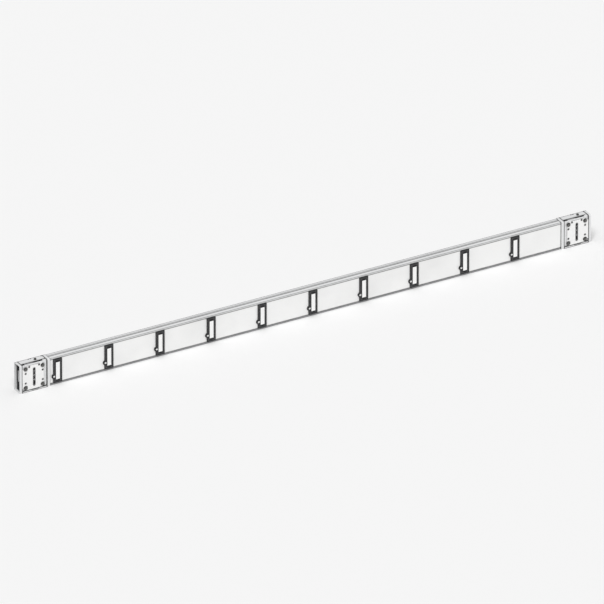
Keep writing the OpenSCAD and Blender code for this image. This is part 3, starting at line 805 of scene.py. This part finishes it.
print("triangles in a frame before the merge:", len(nodes["outlet_frame_01"].data.polygons))

# %% Round what stands at the ends and in the outlets
END_EDGES = {"front_plate": 0.4 * MM, "back_plate": 0.4 * MM, "splices": 0.4 * MM, "comb": 0.3 * MM}
OUTLET_EDGES = {"frame": 0.35 * MM, "door": 0.35 * MM, "lock": 0.3 * MM}
HOUSING_EDGE = BLOCK_EDGE = 0.6 * MM
OVERLAP_STEP = 0.02 * MM

ends = ("left", "right")
rounded = [rounded_copy(f"{end}_{name}", edge) for end in ends for name, edge in END_EDGES.items()]
rounded += [rounded_copy(f"{end}_housing", HOUSING_EDGE, slivers=OVERLAP_STEP) for end in ends]
rounded += [rounded_copy(f"{end}_blocks", BLOCK_EDGE, block_black) for end in ends]
rounded += [
    rounded_copy(f"outlet_{name}_{n:02d}", edge)
    for n in outlet_numbers for name, edge in OUTLET_EDGES.items()
]
print("rounded copies:", len(rounded))

# %% [markdown]
# ## Turned pieces
# Bolts, nuts, washers and screws are turned: a profile of radius against depth goes round an axis.
# A hexagon is the same surface with a radius that depends on the angle too, and the chamfer on its
# corners is the smaller of the hexagon and a cone. A screw thread is a radius that waves with depth
# and angle together.

# %% Turn a profile round an axis
def full_turn(count):
    """So many angles, evenly round the axis."""
    return np.linspace(0, 2 * math.pi, count, endpoint=False)


def turned(radii, depths, angles):
    """Rings in a frame of their own: x = r cos a, z = r sin a, y = -depth. r may vary with a."""
    radii = np.broadcast_to(radii, (len(depths), len(angles)))
    depth = np.broadcast_to(np.asarray(depths)[:, None], radii.shape)
    return np.stack([radii * np.cos(angles), -depth, radii * np.sin(angles)], axis=-1)


def disc(radius, thickness, edge, segments=48):
    """A plain disc with a rounded rim: the rim's radius follows a quarter circle at each face."""
    quarter = np.linspace(0, math.pi / 2, 4)
    sunk = edge * (1 - np.cos(quarter))
    depths = np.concatenate([sunk, thickness - sunk[::-1]])
    rims = radius - edge * (1 - np.sin(np.concatenate([quarter, quarter[::-1]])))
    return tube_mesh(turned(rims[:, None], depths, full_turn(segments)))


print("points of a washer:", len(disc(10.0 * MM, 2.0 * MM, 0.3 * MM)[0]))

# %% Cut a hexagon
CONE_SLOPE = math.tan(math.radians(30))
CHAMFER_SHARE = 0.97


def hexagon(radius, height, chamfer, both_faces=False):
    """A hexagon head: radius(a) = flat / cos(distance of a to the middle of its side), cut by a
    cone of 30 degrees that takes the corners off."""
    angles = full_turn(72)
    flat = radius * math.cos(math.pi / 6)
    side = flat / np.cos(np.mod(angles, math.pi / 3) - math.pi / 6)
    fine = np.linspace(0, 1, 6)
    bottom = fine * chamfer if both_faces else [0.0, 0.0]
    depths = np.concatenate([bottom, height - chamfer * (1 - fine)])
    to_face = np.minimum(height - depths, depths if both_faces else height)
    cone = CHAMFER_SHARE * flat + to_face / CONE_SLOPE
    radii = np.minimum(side[None, :], cone[:, None])
    # Both caps are circles: a cap with three points in line would get a face without area
    radii[0] = CHAMFER_SHARE * flat
    return tube_mesh(turned(radii, depths, angles))


print("points of a hexagon:", len(hexagon(9.8 * MM, 6.4 * MM, 1.0 * MM)[0]))

# %% Cut a thread
THREAD_PITCH = 1.5 * MM
THREAD_DEPTH = 0.75 * MM
RINGS_PER_TURN = 7
TIP_LENGTH = 0.8 * MM
TIP_TAPER = 1.1 * MM


def threaded_rod(radius, length, thread_length):
    """A plain rod whose far end is threaded: radius - depth (1 + cos(2 pi depth / pitch - a)) / 2."""
    angles = full_turn(32)
    thread_rings = round(thread_length / THREAD_PITCH * RINGS_PER_TURN)
    turns = np.linspace(length - thread_length, length - TIP_LENGTH, thread_rings)
    depths = np.concatenate([[0.0], turns, [length]])
    wave = 0.5 + 0.5 * np.cos(2 * math.pi * depths[:, None] / THREAD_PITCH - angles[None, :])
    radii = radius - THREAD_DEPTH * wave * (depths[:, None] > length - thread_length)
    radii[-1] = radius - TIP_TAPER
    return tube_mesh(turned(radii, depths, angles))


print("points of a threaded rod:", len(threaded_rod(5.0 * MM, 60.0 * MM, 14.0 * MM)[0]))

# %% Put a turned mesh in its place
def placed(mesh_data, offset, upright=False, flipped=False):
    """Moves a turned mesh. Upright turns its front to the top, flipped turns it to the back."""
    points, faces = mesh_data
    if upright:
        points = np.stack([points[:, 0], points[:, 2], -points[:, 1]], axis=1)
    if flipped:
        points = points * (-1, -1, 1)
    return points + np.asarray(offset), faces


one_proud = (np.array([[0.0, -1.0, 0.0]]), [])
print("what stands 1 proud of the front, upright:", placed(one_proud, (0, 0, 0), upright=True)[0][0])

# %% [markdown]
# ## Joint bolts
# Four bolts go right through each joint and clamp the splice plates onto the bars. Each has a head
# and a washer at the front, and a washer, a nut and a short threaded tail at the back. A smaller
# screw stands upright in the top strip. Washers, heads and nuts are a fixed share of their bolt's
# radius, so the same functions serve the large ones and the small one.

# %% Build one bolt
BOLT_RADIUS = 5.0 * MM
THREAD_LENGTH = 14.0 * MM
WASHER_EDGE = 0.3 * MM
WASHER_REACH, WASHER_SHARE = 2.0, 0.4
HEAD_REACH, HEAD_SHARE, HEX_CHAMFER = 1.96, 1.28, 0.22
NUT_SHARE, TAIL_SHARE = 1.6, 0.3


def washer_for(radius):
    """The washer of a bolt with this radius."""
    return disc(WASHER_REACH * radius, WASHER_SHARE * radius, WASHER_EDGE)


def washer_and_head(radius):
    """A washer with a hexagon head on it. The side that lies on the joint is at depth 0."""
    head = hexagon(HEAD_REACH * radius, HEAD_SHARE * radius, HEX_CHAMFER * radius)
    return [washer_for(radius), placed(head, (0, -WASHER_SHARE * radius, 0))]


def through_bolt(x, z):
    """A bolt along Y at (x, z), its washers against the front and back of the casing."""
    r = BOLT_RADIUS
    front = casing_middle_y - half_depth
    back = casing_middle_y + half_depth
    washer, nut_height = WASHER_SHARE * r, NUT_SHARE * r
    length = 2 * half_depth + washer + nut_height + TAIL_SHARE * r
    nut = hexagon(HEAD_REACH * r, nut_height, HEX_CHAMFER * r, both_faces=True)
    return [placed(mesh, (x, front, z)) for mesh in washer_and_head(r)] + [
        placed(washer_for(r), (x, back, z), flipped=True),
        placed(nut, (x, back + washer, z), flipped=True),
        placed(threaded_rod(r, length, THREAD_LENGTH), (x, front, z), flipped=True),
    ]


print("meshes of one bolt:", len(through_bolt(0.0, 0.0)))

# %% Set the bolts of both joints
CLAMP_RADIUS = 4.0 * MM
CLAMP_LENGTH = 12.0 * MM
CLAMP_EDGE = 0.5 * MM
CLAMP_INTO_WASHER = 0.1 * MM
CLAMP_SIDE = 23.5 * MM
CLAMP_GAP = 0.3 * MM
STRIP_DEPTH = 38.0 * MM

clamp_y = housing_back - STRIP_DEPTH + WASHER_REACH * CLAMP_RADIUS + CLAMP_GAP
clamp_shank = disc(CLAMP_RADIUS, CLAMP_LENGTH, CLAMP_EDGE, segments=32)
clamp = washer_and_head(CLAMP_RADIUS)
clamp.append(placed(clamp_shank, (0, CLAMP_LENGTH - CLAMP_INTO_WASHER, 0)))
joint_middles = {"left": -joint_x, "right": joint_x}
for end, middle_x in joint_middles.items():
    meshes = []
    for sx in (-1, 1):
        for sz in (-1, 1):
            meshes += through_bolt(middle_x + sx * BOLT[0], middle_z + sz * BOLT[1])
    clamp_place = (middle_x + CLAMP_SIDE, clamp_y, strip_top)
    meshes += [placed(mesh, clamp_place, upright=True) for mesh in clamp]
    make_piece(f"{end}_joint_bolts", joined(meshes), "bolt_zinc", "section", [f"{end}_bolts"])
print("meshes in one joint:", len(meshes), "clamp screw y:", round(clamp_y, 4))

# %% [markdown]
# ## Frame screws
# Six countersunk screws hold each outlet frame to the front panel. Sixty separate objects would be
# slow to handle, so one screw head is worked out and numpy lays copies of its points at all sixty
# places. The six-lobed recess is a radius that waves with the angle: inside it the surface drops.

# %% Build the frame screws
SCREW_SIDE = 18.0 * MM
SCREW_PITCH = 32.0 * MM
SCREW_ROWS = [(-1, 2), (-1, 1), (-1, 0), (-1, -2), (1, 2), (1, -2)]
BOSS_HEIGHT = 0.6 * MM


def lobed_screw(radius, dome, recess_radius, recess_depth):
    """Rings from the rim to the middle. Dome height is dome (1 - (r/R)^2), and inside the lobed
    radius R_recess (1 + 0.14 cos 6a) it drops by the recess depth."""
    angles = full_turn(36)
    lobes = 1 + 0.14 * np.cos(6 * angles)
    plain = np.array([1.0, 0.97, 0.8])[:, None] * radius * np.ones(len(angles))
    edge = np.array([1.06, 1.0, 0.94])[:, None] * recess_radius * lobes
    rings = np.concatenate([plain[:1], plain, edge, edge[-1:] * 0.5])
    heights = dome * (1 - (rings / radius) ** 2)
    # The first ring is the foot of the rim, and the drop begins on the lobed radius itself
    heights[0] = -dome
    heights[5] -= 0.25 * recess_depth
    heights[6:] -= recess_depth
    return tube_mesh(np.stack([rings * np.cos(angles), -heights, rings * np.sin(angles)], axis=-1))


screw = lobed_screw(radius=2.2 * MM, dome=0.25 * MM, recess_radius=1.1 * MM, recess_depth=0.45 * MM)
boss_y = frame_face_y - BOSS_HEIGHT
screws = [
    placed(screw, (x + side * SCREW_SIDE, boss_y, middle_z + row * SCREW_PITCH))
    for x in outlet_x for side, row in SCREW_ROWS
]
make_piece("outlet_screws", joined(screws), "bolt_zinc", "section")
print("frame screws:", len(screws))

# %% [markdown]
# ## Strip screws and pressed-in bushes
# Three pan-head screws hold the top strip of each joint near its back edge. Each small hole of a
# joint plate has a blackened threaded bush pressed into it, so a cover can be screwed on: a low
# collar around the hole, and a bore that goes down inside.

# %% Build the strip screws and the bushes
STRIP_SCREW_X = np.array([-8.0, 5.0, 72.0]) * MM
STRIP_SCREW_FROM_EDGE = 4.7 * MM
PLATE_THICKNESS = 3.0 * MM


def bush(outer, inner, collar, bore):
    """Rings (radius, depth), in millimetres: up the outside of the collar, in over its rounded
    top, and down the bore."""
    profile = np.array([
        (outer, 0.3), (outer, -0.7 * collar), (outer - 0.3, -collar), (inner + 0.3, -collar),
        (inner, -0.7 * collar), (inner, bore), (0.5 * inner, bore),
    ]) * MM
    return tube_mesh(turned(profile[:, :1], profile[:, 1], full_turn(32)))


hole_places = [(sx * SIDE_HOLE[0], sz * SIDE_HOLE[1]) for sx in (-1, 1) for sz in (-1, 1)]
hole_places += [(sx * EDGE_HOLE[0], EDGE_HOLE[1]) for sx in (-1, 1)]
pan_head = lobed_screw(radius=4.2 * MM, dome=2.2 * MM, recess_radius=1.8 * MM, recess_depth=1.1 * MM)
plate_bush = bush(outer=4.1, inner=1.9, collar=0.35, bore=2.6)
plate_face = half_depth + PLATE_THICKNESS
small_steel = []
for middle_x in joint_middles.values():
    for x in STRIP_SCREW_X:
        place = (middle_x + x, strip_edge - STRIP_SCREW_FROM_EDGE, strip_top)
        small_steel.append(placed(pan_head, place, upright=True))
    for x, z in hole_places:
        for sy in (-1, 1):
            place = (middle_x + x, casing_middle_y + sy * plate_face, middle_z + z)
            small_steel.append(placed(plate_bush, place, flipped=sy > 0))
make_piece("strip_screws_and_bushes", joined(small_steel), "bolt_zinc", "section", finish=black_steel)
print("strip screws and bushes:", len(small_steel))

# %% [markdown]
# ## Lock caps
# A white cap sits in the middle of each black lock, split by the slot that a coin or a screwdriver
# turns. Each half is a segment of a disc: its outline is an arc closed by a chord, and rings of that
# outline shrink towards its own middle as they rise, which rounds the edge.

# %% Build the lock caps
CAP_RADIUS = 5.6 * MM
CAP_HEIGHT = 0.5 * MM
HALF_SLOT = 0.9 * MM


def half_cap():
    """The arc runs where x > half the slot, and each ring is centre + scale (outline - centre)."""
    reach = math.acos(HALF_SLOT / CAP_RADIUS)
    angles = np.linspace(-reach, reach, 25)
    outline = CAP_RADIUS * np.stack([np.cos(angles), np.sin(angles)], axis=1)
    centre = outline.mean(axis=0)
    scales = np.array([1.0, 1.0, 0.985, 0.93])[:, None, None]
    heights = np.array([-0.2, 0.6, 0.85, 1.0])[:, None] * CAP_HEIGHT
    rings = centre + scales * (outline - centre)
    heights = np.broadcast_to(heights, rings.shape[:2])
    return tube_mesh(np.stack([rings[..., 0], -heights, rings[..., 1]], axis=-1))


points, faces = half_cap()
halves = [(points, faces), (points * (-1, 1, -1), faces)]
for n, axis in zip(outlet_numbers, lock_axes):
    head_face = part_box(f"outlet_lock_{n:02d}")[0][1]
    place = (axis[0], head_face, axis[2])
    cap = joined([placed(half, place) for half in halves])
    make_piece(f"lock_cap_{n:02d}", cap, "door_white", f"lock_{n:02d}", finish=cap_white)
print("lock caps:", len(lock_axes))

# %% [markdown]
# ## The studio
# The floor is wide, plain and nearly white. A sun gives the same light everywhere, so the floor has
# one tone from edge to edge, and its large disc keeps the shadows soft. The sky fills what the sun
# doesn't reach.

# %% Lay the floor
FLOOR_SIZE = 240.0

reach = FLOOR_SIZE / 2
floor_corners = [(-reach, -reach, 0), (reach, -reach, 0), (reach, reach, 0), (-reach, reach, 0)]
floor_mesh = bpy.data.meshes.new("floor")
floor_mesh.from_pydata(floor_corners, [], [(0, 1, 2, 3)])
floor = bpy.data.objects.new("floor", floor_mesh)
bpy.context.scene.collection.objects.link(floor)
cover(floor, Finish("floor_pale", (0.90, 0.90, 0.90), 0.9))
print("floor:", FLOOR_SIZE, "metres square")

# %% Light it
SUN_FROM = Vector((-0.4, -0.55, 1.0))

sun_data = bpy.data.lights.new("sun", "SUN")
sun_data.energy = 2.0
sun_data.angle = math.radians(25)
sun = bpy.data.objects.new("sun", sun_data)
sun.rotation_euler = SUN_FROM.to_track_quat("Z", "Y").to_euler()
bpy.context.scene.collection.objects.link(sun)

world = bpy.data.worlds.new("studio")
bpy.context.scene.world = world
world.use_nodes = True
sky = world.node_tree.nodes["Background"].inputs
sky["Color"].default_value = (1.0, 1.0, 1.0, 1.0)
sky["Strength"].default_value = 0.5
bpy.context.scene.view_settings.view_transform = "Standard"
print("sun from", [round(c, 2) for c in SUN_FROM.normalized()])

# %% [markdown]
